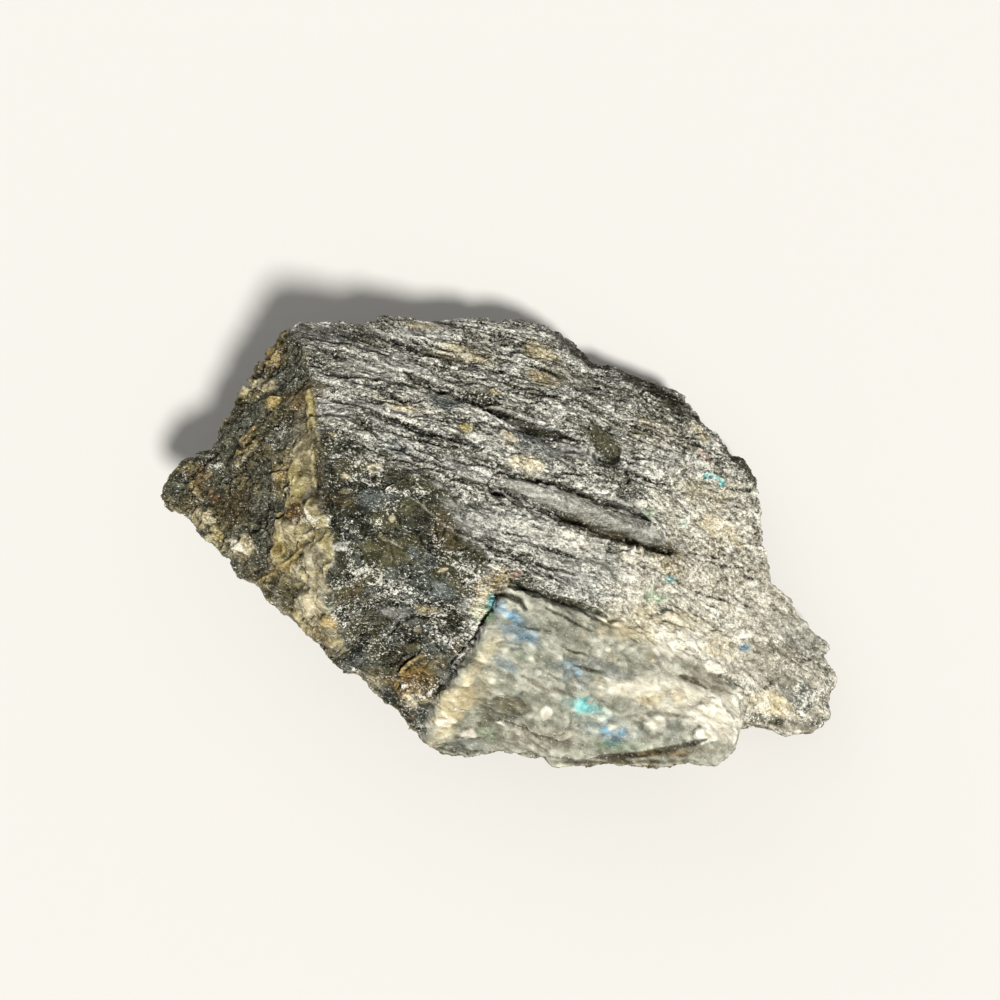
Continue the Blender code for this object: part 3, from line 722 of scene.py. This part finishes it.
def line_share(places, ragged, half_width, path):
    """1 on a line and 0 off it, with ragged sides and thin ends."""
    share = np.zeros(len(places))
    low, high = np.min(path, axis=0) - 3 * half_width, np.max(path, axis=0) + 3 * half_width
    near = np.all((places[:, :2] > low) & (places[:, :2] < high), axis=1)
    flat = places[near, :2] + ragged[near, None] * 0.1
    to_end = np.minimum(np.hypot(*(flat - path[0]).T), np.hypot(*(flat - path[-1]).T))
    reach = half_width * np.clip(to_end / 1.6 + 0.3, 0.3, 1) * (1 + ragged[near] * 0.35)
    share[near] = smooth_step((1.2 - path_distance(flat, path) / reach) / 0.6)
    return share


class Stone:
    """Where the chunk's points are, and how much of each area each of them belongs to."""

    def __init__(self, places, normals):
        self.places = places
        self.grain = along_grain(places)
        streaks = layered_noise(self.grain / (1.6, 0.4, 0.4), 7)
        self.ragged = (layered_noise(places / 0.9, 5) + streaks) / 1.4
        self.top = smooth_step((normals[:, 2] - 0.2) / 0.35)
        self.facing = smooth_step((normals[:, 2] + 0.25) / 0.3)
        wavy = places.copy()
        wavy[:, 0] += self.ragged * 0.45
        wavy[:, 1] += layered_noise(places / 0.8, 6) * 0.45
        self.crust = area_share(wavy, CRUST, 0.3) * self.top
        self.west = area_share(wavy, WEST, 0.5) * self.top * (1 - self.crust)
        self.dark = area_share(wavy, DARK_FACE, 0.7) * self.top * (1 - self.crust)
        self.plate = area_share(wavy, PLATE, 0.35) * self.top
        self.east = area_share(wavy, EAST, 2.0) * self.top * (1 - self.plate)
        self.beaded = self.east * smooth_step(-0.3 - places[:, 1] / 5.0)
        self.calm = self.washed(CALM_COLOURS)
        self.frost = self.washed({"frost"})
        self.lines = []
        for colours, half_width, depth, path in LINES:
            share = line_share(places, self.ragged, half_width, path) * self.top
            self.lines.append((colours, depth, share))
            if half_width >= WIDE_LINE:
                self.calm = np.maximum(self.calm, share)
        taken = self.west + self.crust + self.dark + self.plate
        self.splintered = np.clip(1 - taken, 0, 1)
        self.slit = where(self.splintered * (1 - 0.6 * self.east), slit_share, self.grain)
        self.chip_border, self.chip_numbers = facets(places, self.dark)

    def washed(self, names):
        """The strongest share, at each point, of any wash with one of these names."""
        strongest = np.zeros(len(self.places))
        for wash in WASHES:
            if wash[0] in names:
                share = spot_share(self.places, self.ragged, wash, WASH_SOFTNESS) * wash[-1]
                strongest = np.maximum(strongest, share * self.top)
        return strongest


def along_grain(places):
    """Places in the crystal's own directions: along the grain, across the lamellae, and up them."""
    turn = np.radians(GRAIN_DEGREES + GRAIN_FAN_DEGREES * (places[:, 1] - places[:, 0] * 0.3))
    lean = math.radians(LAMELLA_LEAN_DEGREES)
    along = places[:, 0] * np.cos(turn) + places[:, 1] * np.sin(turn)
    level = places[:, 1] * np.cos(turn) - places[:, 0] * np.sin(turn)
    across = level * math.cos(lean) + places[:, 2] * math.sin(lean)
    up = places[:, 2] * math.cos(lean) - level * math.sin(lean)
    across = across + smooth_noise(places / 6.0, 3) * 0.5 + smooth_noise(places / 2.0, 4) * 0.12
    return np.stack([along, across, up], axis=1)


# --- relief: how far each point moves out, in millimetres ---


def where(weight, shape, *places):
    """shape's values where weight counts, and 0 elsewhere."""
    out = np.zeros(len(weight))
    inside = weight > 0.01
    out[inside] = shape(*[part[inside] for part in places]) * weight[inside]
    return out


def splinters(grain):
    """Long thin splinters between the twin lamellae, in four sizes."""
    coarse = chips(grain / (5.5, 1.1, 1.4), 61, tilt=0.16, step=0.1)
    middle = chips(grain / (2.4, 0.5, 0.7), 62, tilt=0.14, step=0.08)
    fine = chips(grain / (1.2, 0.26, 0.32), 63, tilt=0.08, step=0.065)
    needles = chips(grain / (0.8, 0.15, 0.18), 66, tilt=0.05, step=0.04)
    return coarse + middle + fine + needles


def slit_share(grain):
    """1 in the dark slits that part the splinters, and 0 off them."""
    wander = smooth_noise(grain / (6.0, 0.7, 1.6), 64)
    open_here = smooth_step(smooth_noise(grain / (5.0, 2.0, 3.0), 65) * 2.2 + 0.3)
    return smooth_step(1.3 - np.abs(wander) / 0.1) * open_here


def facets(places, dark):
    """The dark face's chips: the distance to their borders, and four numbers each."""
    border, numbers = np.ones(len(places)), np.zeros((len(places), 4))
    inside = dark > 0.01
    turned = places[inside] @ np.array([[0.94, -0.34, 0.0], [0.34, 0.94, 0.0], [0.0, 0.0, 1.0]])
    _, border[inside], numbers[inside] = voronoi(turned / (2.6, 1.7, 2.2), 71)
    return border, numbers


def mosaic(places, border, numbers):
    """Flat cleavage chips in low steps, with crumbs on the crushed ones."""
    steps = (numbers[:, 3] - 0.5) * 0.3 - 0.1 * smooth_step(1 - border / 0.07)
    crushed = smooth_step(numbers[:, 1] * 3 - 1.2)
    small = chips(places / 0.9, 72, tilt=0.16, step=0.07) * (0.3 + 0.7 * crushed)
    crumbs = lumps(places / 0.35, 73) * crushed
    return steps + small + 0.16 * crumbs


def blocks(places):
    """Blocky, tilted crystals with crumbs between them."""
    large = chips(places / 2.6, 81, tilt=0.4, step=0.06)
    small = chips(places / 1.1, 82, tilt=0.14, step=0.03)
    return large + small + 0.1 * lumps(places / 0.5, 83)


def seams(places):
    """Ledges that cross the west facet, and the chips between them."""
    turned = places @ np.array([[0.74, -0.67, 0.0], [0.67, 0.74, 0.0], [0.0, 0.0, 1.0]])
    ledges = chips(turned / (3.2, 1.1, 1.4), 91, tilt=0.3, step=0.14)
    return ledges + chips(places / 0.9, 92, tilt=0.2, step=0.09) + 0.1 * lumps(places / 0.4, 93)


def beads(places, grain):
    """Soft rounded grains drawn out a little along the grain."""
    large = lumps(grain / (1.8, 1.0, 1.0), 101) * 0.3
    small = lumps(grain / (0.8, 0.5, 0.5), 102) * 0.16
    lines = chips(grain / (3.5, 0.6, 0.8), 103, tilt=0.08, step=0.03)
    return large + small + lines + layered_noise(places / 2.5, 104) * 0.15


def grit(places):
    """Fine sharp grains."""
    grains = chips(places / 0.5, 111, tilt=0.1, step=0.07)
    return grains + 0.08 * lumps(places / 0.24, 112) + 0.12 * lumps(places / 0.7, 113)


def hackle(places, grain):
    """The broken sides: stepped chips, fine hackles and a few splinters."""
    large = chips(places / 3.4, 121, tilt=0.3, step=0.15)
    small = chips(places / 1.2, 122, tilt=0.15, step=0.07)
    lines = chips(grain / (4.0, 0.6, 0.8), 123, tilt=0.12, step=0.07)
    return large + small + lines + 0.08 * lumps(places / 0.4, 124)


def relief(stone):
    side = 1 - stone.top
    places, grain = stone.places, stone.grain
    splintered = stone.splintered * stone.top
    out = where(splintered * (1 - 0.45 * stone.east - 0.3 * stone.beaded), splinters, grain)
    out -= stone.slit * stone.top * SLIT_DEPTH
    out *= 1 - 0.75 * stone.calm
    out += where(stone.dark, mosaic, places, stone.chip_border, stone.chip_numbers)
    out += where(stone.crust, blocks, places)
    out += where(stone.west, seams, places)
    out += where(stone.plate + stone.beaded * 0.6, beads, places, grain)
    out += where(stone.east - 0.4 * stone.beaded, grit, places)
    out += where(side, hackle, places, grain)
    for mark in MARKS:
        if mark[-1]:
            out += spot_share(places, stone.ragged, mark, MARK_SOFTNESS) * mark[-1] * stone.top
    for _, depth, share in stone.lines:
        out -= depth * share
    return out * smooth_step(places[:, 2] / BASE_FADE)


# --- the mesh ---


def read_points(mesh, name):
    values = np.empty(len(mesh.vertices) * 3)
    mesh.vertices.foreach_get(name, values)
    return values.reshape(-1, 3)


def write_points(mesh, places):
    mesh.vertices.foreach_set("co", places.ravel())
    mesh.update()


def apply_modifiers(obj):
    bpy.context.view_layer.update()
    graph = bpy.context.evaluated_depsgraph_get()
    done = bpy.data.meshes.new_from_object(obj.evaluated_get(graph))
    obj.modifiers.clear()
    obj.data = done


def neighbour_means(mesh, values):
    """For each point, the mean of its neighbours' values."""
    ends = np.empty(len(mesh.edges) * 2, dtype=np.int32)
    mesh.edges.foreach_get("vertices", ends)
    first, second = ends[0::2], ends[1::2]
    count = np.bincount(ends, minlength=len(values))
    total = np.empty_like(values)
    for axis in range(values.shape[1]):
        column = values[:, axis]
        total[:, axis] = np.bincount(first, column[second], len(values))
        total[:, axis] += np.bincount(second, column[first], len(values))
    return total / np.maximum(count, 1)[:, None]


def fine_copy(node):
    """The solid as even quads, with the facets of its triangles softened."""
    shape = bmesh.new()
    shape.from_mesh(node.data)
    bmesh.ops.remove_doubles(shape, verts=shape.verts[:], dist=WELD)
    mesh = bpy.data.meshes.new("whole")
    shape.to_mesh(mesh)
    shape.free()
    obj = bpy.data.objects.new("whole", mesh)
    bpy.context.scene.collection.objects.link(obj)
    even = obj.modifiers.new("even", "REMESH")
    even.mode = "VOXEL"
    even.voxel_size = VOXEL * MM
    apply_modifiers(obj)
    places = read_points(obj.data, "co")
    for _ in range(SMOOTHINGS):
        places = mix(places, neighbour_means(obj.data, places), SMOOTHING_SHARE)
    write_points(obj.data, places)
    return obj


def roughen(obj):
    mesh = obj.data
    places, normals = read_points(mesh, "co") / MM, read_points(mesh, "normal")
    on_base = places[:, 2] < BASE_HEIGHT
    places = places + normals * relief(Stone(places, normals))[:, None]
    places[:, 2] = np.maximum(places[:, 2], 0.0)
    places[on_base, 2] = 0.0
    write_points(mesh, places * MM)


def thin(obj):
    """Fewer, larger triangles where the surface is flat."""
    fewer = obj.modifiers.new("fewer", "DECIMATE")
    fewer.use_collapse_triangulate = True
    obj.data.calc_loop_triangles()
    fewer.ratio = min(1.0, TRIANGLES / len(obj.data.loop_triangles))
    apply_modifiers(obj)


# --- colours painted on the points ---


def linear(colour):
    """8-bit sRGB as linear light."""
    values = np.array(colour) / 255.0
    return np.where(values <= 0.04045, values / 12.92, ((values + 0.055) / 1.055) ** 2.4)


def paint(stone):
    """The low and the high colour of every point, as six linear numbers."""
    places, grain = stone.places, stone.grain
    colours = np.tile(linear(PALETTE["splinter"]), (len(places), 1))

    def tint(name, share):
        colours[:] = mix(colours, linear(PALETTE[name]), np.clip(share, 0, 1)[:, None])

    def patches(spots, seed, contrast, level):
        return smooth_step(layered_noise(spots, seed) * contrast + level)

    cloud = layered_noise(places / 3.5, 201)
    bands = layered_noise(grain / (4.5, 0.9, 1.2), 202)
    tint("silver", smooth_step(bands * 2.4) * 0.85)
    tint("charcoal", smooth_step(-bands * 2.4) * 0.85)
    tint("tan", patches(places / 2.6, 203, 2, -0.7) * 0.6)
    tint("east", stone.east * smooth_step(1.1 - places[:, 1] / 8.0) * 0.85)
    side = 1 - stone.top
    tint("west", side * 0.8)
    tint("charcoal", side * smooth_step(cloud * 2.2 + 0.3) * 0.8)
    tint("brown", side * patches(places / 4.0, 204, 2.4, -0.7))
    tint("cream", side * patches(places / 3.0, 205, 2.6, -1.3))
    tint("west", stone.west)
    tint("shale", stone.west * smooth_step(cloud * 2.2 + 0.2) * 0.7)
    tint("ochre", stone.west * patches(places / 1.6, 206, 2.6, -1.2) * 0.7)
    tint("dark", stone.dark)
    kind = stone.chip_numbers[:, 0]
    tint("olive", stone.dark * (kind > 0.7) * 0.7)
    tint("slate", stone.dark * (kind < 0.22) * 0.35)
    tint("umber", stone.dark * ((kind > 0.5) & (kind < 0.62)) * 0.7)
    tint("crust", stone.crust)
    tint("white", stone.crust * patches(places / 1.2, 208, 2.6, -0.9) * 0.6)
    tint("brown", stone.crust * patches(places / 1.8, 209, 2.6, -1.2) * 0.6)
    tint("plate", stone.plate)
    tint("slate", stone.plate * patches(grain / (4.0, 1.4, 2.0), 210, 2, -0.5) * 0.4)
    tint("cream", stone.plate * patches(grain / (1.6, 1.0, 1.0), 211, 3, -1.1) * 0.5)
    # painted shade in the slits between the splinters
    tint("soot", stone.slit * stone.top * 0.8)
    glimmer = layered_noise(places / 0.6, 212)
    for wash in WASHES:
        if wash[0] == "frost":
            continue
        share = spot_share(places, stone.ragged, wash, WASH_SOFTNESS) * wash[-1]
        # the schiller's flashes are painted sheen, broken into glimmers
        if wash[0] in FLASH_COLOURS:
            share = share * smooth_step(glimmer * 1.8 + 0.7)
        tint(wash[0], share * stone.facing)
    # the sunk near-black marks are painted shade
    for mark in MARKS:
        share = spot_share(places, stone.ragged, mark, MARK_SOFTNESS)
        tint(mark[0], share * stone.top * MARK_COVER)
    # the near-black grooves and cracks are painted shade, and the broad umber groove floor partly so
    for name, _, share in stone.lines:
        tint(name, share * LINE_COVER)
    return colours


def opaque(colours):
    return np.concatenate([colours, np.ones((len(colours), 1))], axis=1)


def paint_points(mesh, places, normals):
    """What the material reads at every point, by attribute name."""
    hollow = ((neighbour_means(mesh, places) - places) * normals).sum(axis=1)
    hollow = neighbour_means(mesh, hollow[:, None])[:, 0]
    broad = normals
    for _ in range(BROADENINGS):
        broad = neighbour_means(mesh, broad)
    stone = Stone(places, broad)
    colours = paint(stone)
    splintered = stone.splintered * stone.top
    side = 1 - stone.top
    soft = stone.plate + stone.crust * 0.7 + stone.beaded * 0.6
    edges = smooth_step(1.2 - stone.chip_border / 0.06)
    crushed = smooth_step(stone.chip_numbers[:, 1] * 3 - 1.2)
    # where the bright specks go: partly crushed crystal, partly painted glints
    glint_frosted = splintered * 0.75 + stone.dark * (0.2 + 0.5 * edges + 0.5 * crushed)
    glint_frosted += stone.east * 0.3 + stone.west * 0.4 + side * 0.4 + stone.crust * 0.3
    glint_frosted = glint_frosted * (1 - 0.7 * stone.calm) + stone.frost * 0.8
    return {
        "low": ("FLOAT_COLOR", opaque(colours[:, :3])),
        "high": ("FLOAT_COLOR", opaque(colours[:, 3:])),
        "grain": ("FLOAT_VECTOR", stone.grain),
        "hollow": ("FLOAT", np.clip(hollow / HOLLOW_DEPTH, -1, 1)),
        "streaked": ("FLOAT", splintered * (1 - 0.6 * stone.calm) * (1 - 0.5 * stone.beaded)),
        "glint_frosted": ("FLOAT", np.clip(glint_frosted, 0, 1.6)),
        "soft": ("FLOAT", np.clip(soft, 0, 1)),
    }


# --- the pieces ---


def read_triangles(mesh):
    corners = np.empty(len(mesh.loops), dtype=np.int32)
    mesh.loops.foreach_get("vertex_index", corners)
    return corners.reshape(-1, 3)


def make_piece(name, places, normals, painted, triangles):
    """A share of the stone's triangles as an object of its own, with the whole stone's normals."""
    used, corners = np.unique(triangles, return_inverse=True)
    mesh = bpy.data.meshes.new(name)
    mesh.vertices.add(len(used))
    mesh.vertices.foreach_set("co", (places[used] * MM).astype(np.float32).ravel())
    mesh.loops.add(len(triangles) * 3)
    mesh.loops.foreach_set("vertex_index", corners.astype(np.int32).ravel())
    mesh.polygons.add(len(triangles))
    mesh.polygons.foreach_set("loop_start", np.arange(0, len(triangles) * 3, 3, dtype=np.int32))
    mesh.update(calc_edges=True)
    mesh.normals_split_custom_set_from_vertices(normals[used].tolist())
    for attribute_name, (kind, values) in painted.items():
        field = {"FLOAT": "value", "FLOAT_VECTOR": "vector", "FLOAT_COLOR": "color"}[kind]
        attribute = mesh.attributes.new(attribute_name, kind, "POINT")
        attribute.data.foreach_set(field, values[used].astype(np.float32).ravel())
    piece = bpy.data.objects.new(name, mesh)
    bpy.context.scene.collection.objects.link(piece)
    return piece


# --- materials ---


class Nodes:
    """Short ways to add and link shader nodes in one material."""

    def __init__(self, name):
        self.material = bpy.data.materials.new(name)
        self.material.use_nodes = True
        self.tree = self.material.node_tree
        self.shader = self.tree.nodes["Principled BSDF"]

    def add(self, kind, inputs=(), **settings):
        node = self.tree.nodes.new(kind)
        for name, value in settings.items():
            setattr(node, name, value)
        for name, value in dict(inputs).items():
            self.put(node.inputs[name], value)
        return node

    def put(self, socket, value):
        if isinstance(value, bpy.types.NodeSocket):
            self.tree.links.new(value, socket)
        else:
            socket.default_value = value

    def attribute(self, name, output):
        return self.add("ShaderNodeAttribute", attribute_name=name).outputs[output]

    def math(self, operation, first, second=0.0, clamp=False):
        inputs = {0: first, 1: second}
        return self.add("ShaderNodeMath", inputs, operation=operation, use_clamp=clamp).outputs[0]

    def weigh(self, *terms):
        """The sum of values, each times its weight."""
        total, *rest = [self.math("MULTIPLY", value, weight) for value, weight in terms]
        for part in rest:
            total = self.math("ADD", total, part)
        return total

    def vector(self, operation, first, second):
        inputs = {0: first, 1: second}
        return self.add("ShaderNodeVectorMath", inputs, operation=operation).outputs[0]

    def mix(self, share, first, second):
        inputs = {0: share, 2: first, 3: second}
        return self.add("ShaderNodeMix", inputs, data_type="FLOAT").outputs[0]

    def mix_colour(self, share, first, second, blend="MIX"):
        inputs = {0: share, 6: first, 7: second}
        return self.add("ShaderNodeMix", inputs, data_type="RGBA", blend_type=blend).outputs[2]

    def noise(self, vector, stretch, detail, roughness):
        where_at = self.vector("MULTIPLY", vector, stretch)
        inputs = {"Vector": where_at, "Scale": 1.0, "Detail": detail, "Roughness": roughness}
        return self.add("ShaderNodeTexNoise", inputs).outputs["Fac"]

    def cells(self, vector, stretch, feature="F1"):
        where_at = self.vector("MULTIPLY", vector, stretch)
        inputs = {"Vector": where_at, "Scale": 1.0}
        return self.add("ShaderNodeTexVoronoi", inputs, feature=feature)

    def red(self, colour):
        return self.add("ShaderNodeSeparateColor", {"Color": colour}).outputs[0]

    def grey(self, value):
        node = self.add("ShaderNodeCombineColor", {"Red": value, "Green": value, "Blue": value})
        return node.outputs[0]

    def scale(self, vector, factor):
        inputs = {0: vector, "Scale": factor}
        return self.add("ShaderNodeVectorMath", inputs, operation="SCALE").outputs[0]

    def steepen(self, value, low, high):
        """value from low to high, spread over 0 to 1."""
        inputs = {"From Min": low, "From Max": high, "Value": value}
        return self.add("ShaderNodeMapRange", inputs).outputs["Result"]

    def off_middle(self, noise):
        """How far a noise is from its middle."""
        return self.math("ABSOLUTE", self.math("SUBTRACT", noise, 0.5))


def bend(nodes, grain):
    """Grain coordinates that wander a little."""
    stretched = nodes.vector("MULTIPLY", grain, (0.6, 1.6, 1.6))
    wobble = nodes.add("ShaderNodeTexNoise", {"Vector": stretched})
    wobble = nodes.vector("SUBTRACT", wobble.outputs["Color"], (0.5, 0.5, 0.5))
    return nodes.vector("ADD", grain, nodes.vector("MULTIPLY", wobble, (0.5, 0.7, 0.7)))


def splinter_pattern(nodes, bent):
    """Bright and dark splinters: cells along the grain in two sizes, pale threads and dark lines."""
    long_cells = nodes.red(nodes.cells(bent, (0.4, 2.8, 2.8)).outputs["Color"])
    short_cells = nodes.red(nodes.cells(bent, (1.4, 5.5, 5.5)).outputs["Color"])
    fine = nodes.noise(bent, (2.2, 4.6, 4.6), 2.0, 0.8)
    threads = nodes.steepen(nodes.off_middle(nodes.noise(bent, (1.0, 3.4, 3.4), 1.0, 0.6)), 0.05, 0.0)
    total = nodes.weigh((long_cells, 0.35), (short_cells, 0.45), (fine, 1.6), (threads, 0.35))
    lines = nodes.off_middle(nodes.noise(bent, (0.3, 1.9, 1.9), 2.0, 0.6))
    return nodes.math("MULTIPLY", nodes.steepen(total, 0.9, 1.62), nodes.steepen(lines, 0.008, 0.035))


def chip_pattern(nodes, grain):
    """Dull chips of about a millimetre with fine dust on them."""
    chip_cells = nodes.red(nodes.cells(grain, (0.7, 0.9, 0.9)).outputs["Color"])
    dust = nodes.noise(grain, (5.0, 6.0, 6.0), 3.0, 0.8)
    return nodes.steepen(nodes.weigh((chip_cells, 0.3), (dust, 1.3)), 0.45, 1.15)


def bead_pattern(nodes, grain):
    """Soft round grains, some of them bright in the middle, partly their own pale colour and partly a
    painted highlight, under pale clouds.
    """
    beads = nodes.cells(grain, (0.9, 1.3, 1.3))
    middle = nodes.steepen(beads.outputs["Distance"], 0.55, 0.05)
    bright = nodes.steepen(nodes.red(beads.outputs["Color"]), 0.35, 1.0)
    cloud = nodes.noise(grain, (0.4, 0.9, 0.9), 4.0, 0.6)
    total = nodes.weigh((cloud, 2.0), (nodes.math("MULTIPLY", middle, bright), 0.8))
    return nodes.steepen(total, 0.55, 1.7)


def glint_frost_pattern(nodes, grain, bent, glint_frosted):
    """Bright specks, in clumps and along the seams between chips: partly crushed crystal, partly
    painted glints.
    """
    specks = nodes.noise(grain, (4.0, 5.4, 5.4), 3.0, 0.85)
    clumps = nodes.steepen(nodes.noise(grain, (0.55, 0.8, 0.8), 4.0, 0.8), 0.46, 0.68)
    borders = nodes.cells(bent, (0.42, 0.6, 0.6), "DISTANCE_TO_EDGE")
    seams = nodes.steepen(borders.outputs["Distance"], 0.09, 0.0)
    share = nodes.math("ADD", nodes.weigh((clumps, 0.16), (seams, 0.08)), 0.05)
    share = nodes.math("MULTIPLY", share, glint_frosted)
    return nodes.steepen(nodes.math("ADD", specks, share), 0.63, 0.68)


def labradorite_material():
    nodes = Nodes("labradorite_surface")
    grain = nodes.attribute("grain", "Vector")
    hollow = nodes.attribute("hollow", "Fac")
    soft = nodes.attribute("soft", "Fac")
    bent = bend(nodes, grain)

    pattern = nodes.mix(soft, chip_pattern(nodes, grain), bead_pattern(nodes, grain))
    pattern = nodes.mix(nodes.attribute("streaked", "Fac"), pattern, splinter_pattern(nodes, bent))
    # painted shade: in the hollows the pattern goes toward the low colour
    pattern = nodes.math("ADD", pattern, nodes.math("MULTIPLY", hollow, -0.25), clamp=True)
    frost = glint_frost_pattern(nodes, grain, bent, nodes.attribute("glint_frosted", "Fac"))

    low, high = nodes.attribute("low", "Color"), nodes.attribute("high", "Color")
    colour = nodes.mix_colour(nodes.math("POWER", pattern, DARKENING), low, high)
    # the bright specks laid over the colour, partly painted glints
    cover = nodes.math("MULTIPLY", frost, GLINT_FROST_COVER)
    colour = nodes.mix_colour(cover, colour, (*linear(GLINT_FROST), 1.0))
    # painted shade: the colour darkens in the hollows, less on the soft grains
    shade = nodes.mix(nodes.steepen(hollow, 0.05, 0.9), 1.0, nodes.mix(soft, 0.35, 0.75))
    colour = nodes.mix_colour(1.0, colour, nodes.grey(shade), blend="MULTIPLY")
    nodes.put(nodes.shader.inputs["Base Color"], colour)

    # cleavage glints: every small cell leans its own way
    glints = nodes.cells(grain, (3.2, 8.0, 8.0))
    lean = nodes.vector("SUBTRACT", glints.outputs["Color"], (0.5, 0.5, 0.5))
    lean = nodes.scale(lean, nodes.mix(soft, 1.0, 0.25))
    bumps = nodes.noise(grain, (3.0, 7.0, 7.0), 3.0, 0.7)
    bump = {"Strength": 1.0, "Distance": BUMP_METRES, "Height": bumps}
    normal = nodes.vector("ADD", nodes.add("ShaderNodeBump", bump).outputs["Normal"], lean)
    normal = nodes.add("ShaderNodeVectorMath", {0: normal}, operation="NORMALIZE").outputs[0]
    nodes.put(nodes.shader.inputs["Normal"], normal)

    sparkle = nodes.steepen(nodes.red(glints.outputs["Color"]), 0.8, 1.0)
    nodes.put(nodes.shader.inputs["Specular IOR Level"], nodes.mix(sparkle, 0.05, 1.0))
    rough = nodes.mix(soft, nodes.mix(sparkle, nodes.mix(pattern, 0.5, 0.3), 0.16), 0.5)
    nodes.put(nodes.shader.inputs["Roughness"], rough)
    nodes.shader.inputs["IOR"].default_value = INDEX
    return nodes.material


def floor_material():
    nodes = Nodes("pale_floor")
    nodes.shader.inputs["Base Color"].default_value = FLOOR_COLOUR
    nodes.shader.inputs["Roughness"].default_value = FLOOR_ROUGHNESS
    return nodes.material


# --- the scene ---


def dress_stone():
    whole = fine_copy(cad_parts["labradorite"])
    roughen(whole)
    thin(whole)
    mesh = whole.data
    places, normals = read_points(mesh, "co") / MM, read_points(mesh, "normal")
    painted = paint_points(mesh, places, normals)
    triangles = read_triangles(mesh)
    bpy.data.objects.remove(whole)

    # from west to east, in shares of the same number of triangles
    order = np.argsort(places[triangles, 0].sum(axis=1))
    material = labradorite_material()
    for number, share in enumerate(np.array_split(order, PIECES)):
        piece = make_piece(f"labradorite_{number + 1}", places, normals, painted, triangles[share])
        piece.data.materials.append(material)
        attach(piece, "root")
        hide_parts("labradorite")


def make_floor():
    half = FLOOR_SIDE / 2
    mesh = bpy.data.meshes.new("floor")
    corners = [(-half, -half, 0), (half, -half, 0), (half, half, 0), (-half, half, 0)]
    mesh.from_pydata(corners, [], [(0, 1, 2, 3)])
    floor = bpy.data.objects.new("floor", mesh)
    mesh.materials.append(floor_material())
    bpy.context.scene.collection.objects.link(floor)


def aim(obj, target):
    obj.rotation_mode = "QUATERNION"
    obj.rotation_quaternion = (Vector(target) - obj.location).to_track_quat("-Z", "Y")


def make_light(name, place, strength, angle_degrees, colour):
    data = bpy.data.lights.new(name, "SUN")
    data.energy = strength
    data.angle = math.radians(angle_degrees)
    data.color = colour
    light = bpy.data.objects.new(name, data)
    light.location = place
    aim(light, LAMP_AIM)
    bpy.context.scene.collection.objects.link(light)


def make_lights():
    for lamp in LAMPS:
        make_light(*lamp)
    world = bpy.data.worlds.new("studio")
    world.use_nodes = True
    background = world.node_tree.nodes["Background"]
    background.inputs["Color"].default_value = ROOM_COLOUR
    background.inputs["Strength"].default_value = ROOM_STRENGTH
    bpy.context.scene.world = world


def make_camera():
    data = bpy.data.cameras.new("camera")
    data.lens = LENS_MILLIMETRES
    data.sensor_width = SENSOR_MILLIMETRES
    data.clip_start = CLIP_START
    camera = bpy.data.objects.new("camera", data)
    angle = math.radians(CAMERA_ELEVATION_DEGREES)
    back = Vector((0, -math.cos(angle), math.sin(angle)))
    camera.location = Vector(CAMERA_AIM) + back * CAMERA_DISTANCE
    aim(camera, CAMERA_AIM)
    bpy.context.scene.collection.objects.link(camera)
    bpy.context.scene.camera = camera


make_camera()
make_lights()
make_floor()
dress_stone()
bpy.context.scene.view_settings.view_transform = "Standard"
